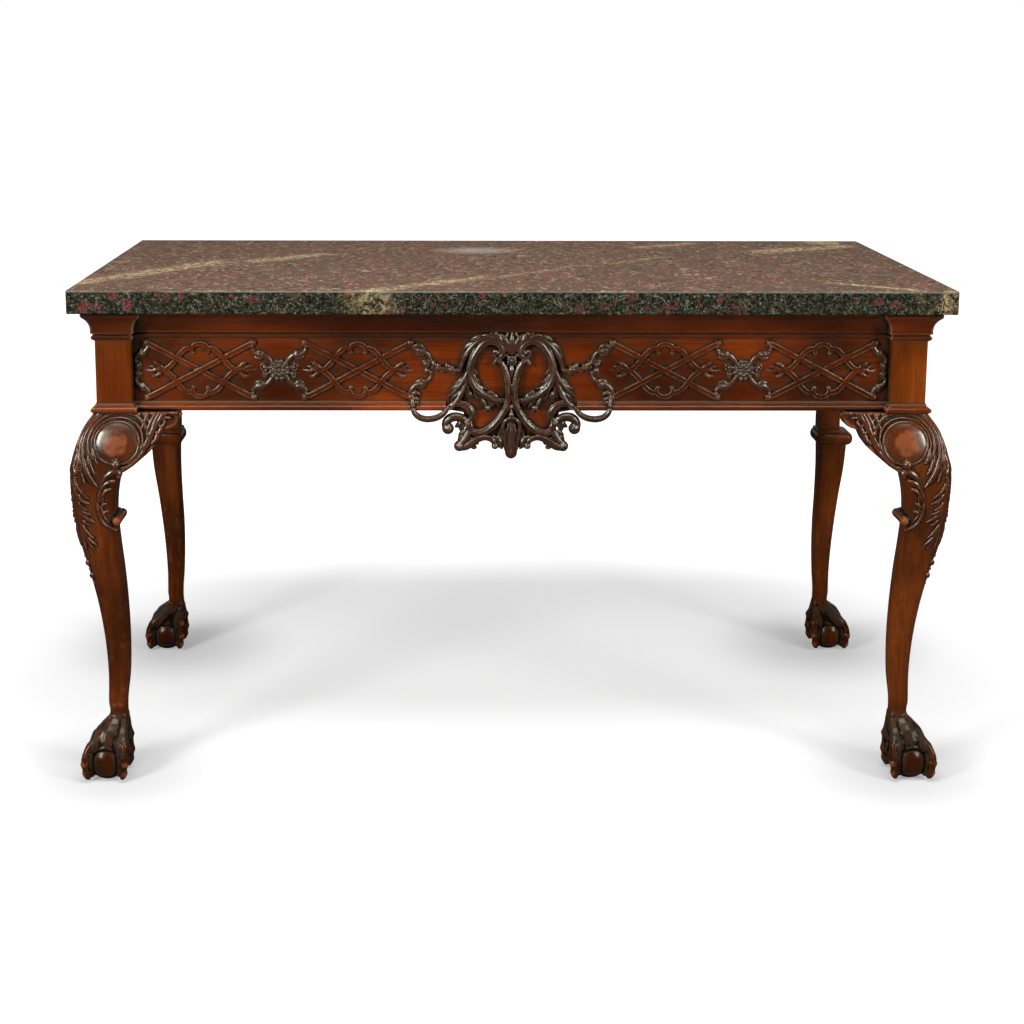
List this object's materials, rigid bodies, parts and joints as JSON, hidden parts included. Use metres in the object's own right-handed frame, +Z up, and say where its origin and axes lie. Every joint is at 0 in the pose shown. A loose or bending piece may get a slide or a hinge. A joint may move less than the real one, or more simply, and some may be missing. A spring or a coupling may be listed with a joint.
{
  "type": "pier table",
  "caption": "Marble-topped mahogany pier table: fretted frieze, carved pendant cartouche and cabriole legs on claw-and-ball feet.",
  "frame": {"origin": "on the floor, at the middle of the table's footprint", "axes": "+X along the table to the right as seen from its front, +Y to the wall behind it, +Z up; the front faces -Y"},
  "size_m": [1.497, 0.7332, 0.864],
  "materials": {
    "mahogany": "waxed and polished red-brown mahogany, darker in the carving",
    "marble": "polished dark variegated marble with red, purple and cream flecks",
    "secondary_wood": "planed tulip poplar and pine, unfinished"
  },
  "bodies": {
    "root": {"apron_pendant": "mahogany", "apron_swag_left": "mahogany", "apron_swag_right": "mahogany", "base_moulding_block_left": "mahogany", "base_moulding_block_right": "mahogany", "base_moulding_front_left": "mahogany", "base_moulding_front_right": "mahogany", "base_moulding_return_left": "mahogany", "base_moulding_return_right": "mahogany", "base_moulding_side_left": "mahogany", "base_moulding_side_right": "mahogany", "cartouche_crown": "mahogany", "cartouche_scrolls": "mahogany", "cornice_block_left": "mahogany", "cornice_block_right": "mahogany", "cornice_front": "mahogany", "cornice_return_left": "mahogany", "cornice_return_right": "mahogany", "cornice_side_left": "mahogany", "cornice_side_right": "mahogany", "cross_bearer_left": "secondary_wood", "cross_bearer_middle": "secondary_wood", "cross_bearer_right": "secondary_wood", "end_scroll_left": "mahogany", "end_scroll_right": "mahogany", "fret_panel_inner_left": "mahogany", "fret_panel_inner_right": "mahogany", "fret_panel_outer_left": "mahogany", "fret_panel_outer_right": "mahogany", "front_leg_left": "mahogany", "front_leg_right": "mahogany", "front_rail": "mahogany", "glue_blocks": "secondary_wood", "inner_scroll_left": "mahogany", "inner_scroll_right": "mahogany", "knee_bracket_front_left": "mahogany", "knee_bracket_front_right": "mahogany", "knee_bracket_side_left": "mahogany", "knee_bracket_side_right": "mahogany", "marble_top": "marble", "rear_leg_left": "mahogany", "rear_leg_right": "mahogany", "rear_rail": "secondary_wood", "rosette_left": "mahogany", "rosette_right": "mahogany", "side_fret_front_left": "mahogany", "side_fret_front_right": "mahogany", "side_fret_rear_left": "mahogany", "side_fret_rear_right": "mahogany", "side_rail_left": "mahogany", "side_rail_right": "mahogany", "side_rosette_left": "mahogany", "side_rosette_right": "mahogany"}
  },
  "joints": []
}
